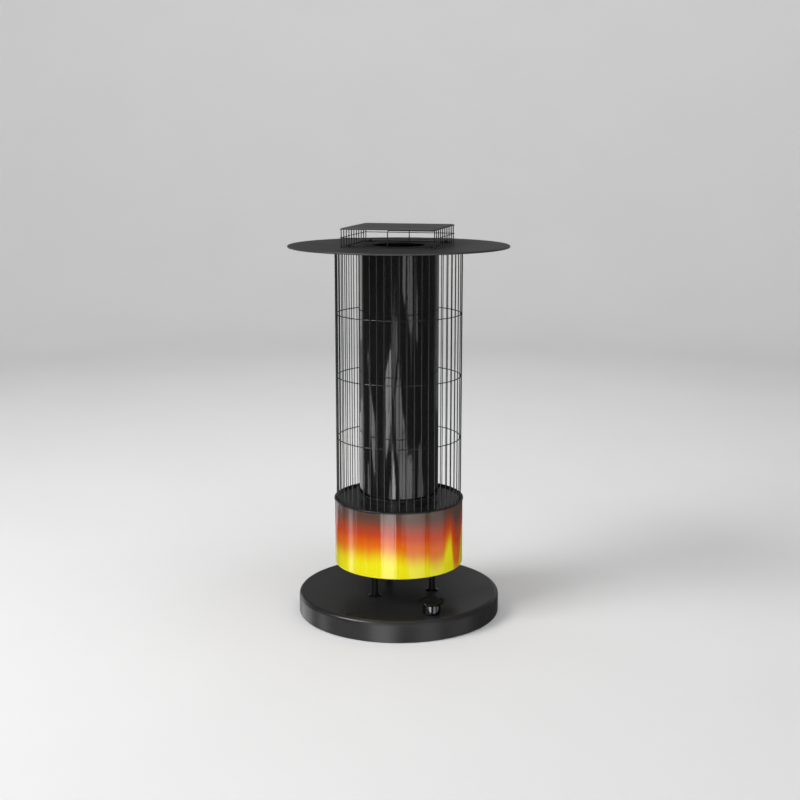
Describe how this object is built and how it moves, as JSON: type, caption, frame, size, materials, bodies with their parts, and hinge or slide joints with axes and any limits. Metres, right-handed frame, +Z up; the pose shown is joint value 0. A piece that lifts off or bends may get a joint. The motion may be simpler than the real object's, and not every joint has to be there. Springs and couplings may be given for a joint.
{
  "type": "quartz heater",
  "caption": "Round-base quartz heater: printed drum on short legs, dark glass tube in a wire cage, wide deflector disc with a square flue guard, and a control knob.",
  "frame": {"origin": "on the floor at the middle of the base", "axes": "+Z up along the tube, -Y to the front, +X to the right seen from the front"},
  "size_m": [0.3184, 0.3184, 0.571],
  "materials": {
    "base_paint": "satin black powder coat",
    "zinc_steel": "zinc plated",
    "foot_rubber": "moulded",
    "ballast_iron": "raw casting",
    "inlet_plastic": "moulded",
    "contact_brass": "turned",
    "knob_chrome": "polished dark chrome",
    "knob_face": "gloss black",
    "shaft_steel": "turned",
    "plunger_plastic": "moulded",
    "lead_insulation": "heat-proof sleeve",
    "leg_gloss": "gloss black",
    "drum_print": "glossy flame-coloured print",
    "drum_black": "heat-proof black",
    "element_ceramic": "fired, unglazed",
    "gasket_fibre": "pressed fibre",
    "smoked_glass": "smoked, polished",
    "quartz_glass": "milky quartz",
    "coil_wire": "oxidised resistance wire",
    "reflector_aluminium": "polished",
    "cage_black": "black coat on wire",
    "deflector_black": "satin black",
    "guard_black": "black coat on wire",
    "guard_plate_grey": "satin dark grey"
  },
  "bodies": {
    "heater": {"base_cover": "base_paint", "base_plate": "zinc_steel", "base_screws": "zinc_steel", "tip_switch_bracket": "zinc_steel", "leg_nuts": "zinc_steel", "drum_tie_rods": "zinc_steel", "drum_tie_nuts": "zinc_steel", "centre_rod": "zinc_steel", "rod_nuts": "zinc_steel", "element_plate_upper": "zinc_steel", "thermal_cutout": "zinc_steel", "base_feet": "foot_rubber", "ballast_ring": "ballast_iron", "power_inlet": "inlet_plastic", "rotary_switch": "inlet_plastic", "tip_switch": "inlet_plastic", "inlet_pins": "contact_brass", "switch_nut": "contact_brass", "plunger_bush": "contact_brass", "tip_spring": "shaft_steel", "base_leads": "lead_insulation", "riser_cable": "lead_insulation", "element_leads": "lead_insulation", "leg_right": "leg_gloss", "leg_rear": "leg_gloss", "leg_front": "leg_gloss", "leg_flanges": "leg_gloss", "drum_shell": "drum_print", "drum_floor": "drum_black", "drum_lid": "drum_black", "tube_seat": "drum_black", "tube_upper_ring": "drum_black", "terminal_block": "element_ceramic", "element_caps": "element_ceramic", "element_plate_lower": "element_ceramic", "tube_gasket_lower": "gasket_fibre", "tube_gasket_upper": "gasket_fibre", "glass_tube": "smoked_glass", "element_tubes": "quartz_glass", "element_coils": "coil_wire", "reflector_core": "reflector_aluminium", "cage_wires": "cage_black", "cage_ring_bottom": "cage_black", "cage_ring_1": "cage_black", "cage_ring_2": "cage_black", "cage_ring_3": "cage_black", "cage_ring_top": "cage_black", "cage_lugs": "cage_black", "deflector_disc": "deflector_black", "guard_tabs": "guard_black", "guard_rails": "guard_black", "guard_posts": "guard_black", "guard_front_wire": "guard_black", "disc_screws": "guard_black", "guard_plate": "guard_plate_grey"},
    "knob": {"knob": "knob_chrome", "knob_cap": "knob_face", "knob_shaft": "shaft_steel"},
    "plunger": {"tip_plunger": "plunger_plastic"},
    "lever": {"tip_lever": "zinc_steel"}
  },
  "joints": [
    {"name": "knob_turn", "type": "hinge", "parent": "heater", "child": "knob", "pos_m": [0.07139, -0.09683, 0.031], "axis": [0, 0, -1], "range_deg": [0, 270]},
    {"name": "plunger_slide", "type": "slide", "parent": "heater", "child": "plunger", "axis": [0, 0, -1], "range_m": [0, 0.0025], "stiffness_N_per_m": 150, "springref_m": 0.004, "deforming": ["tip_spring"]},
    {"name": "lever_swing", "type": "hinge", "parent": "heater", "child": "lever", "pos_m": [-0.106, 0, 0.0231], "axis": [0, -1, 0], "range_deg": [0, 8.5]}
  ],
  "couplings": [
    {"joint": "lever_swing", "follows": "plunger_slide", "rad_per_m": 45.455}
  ]
}
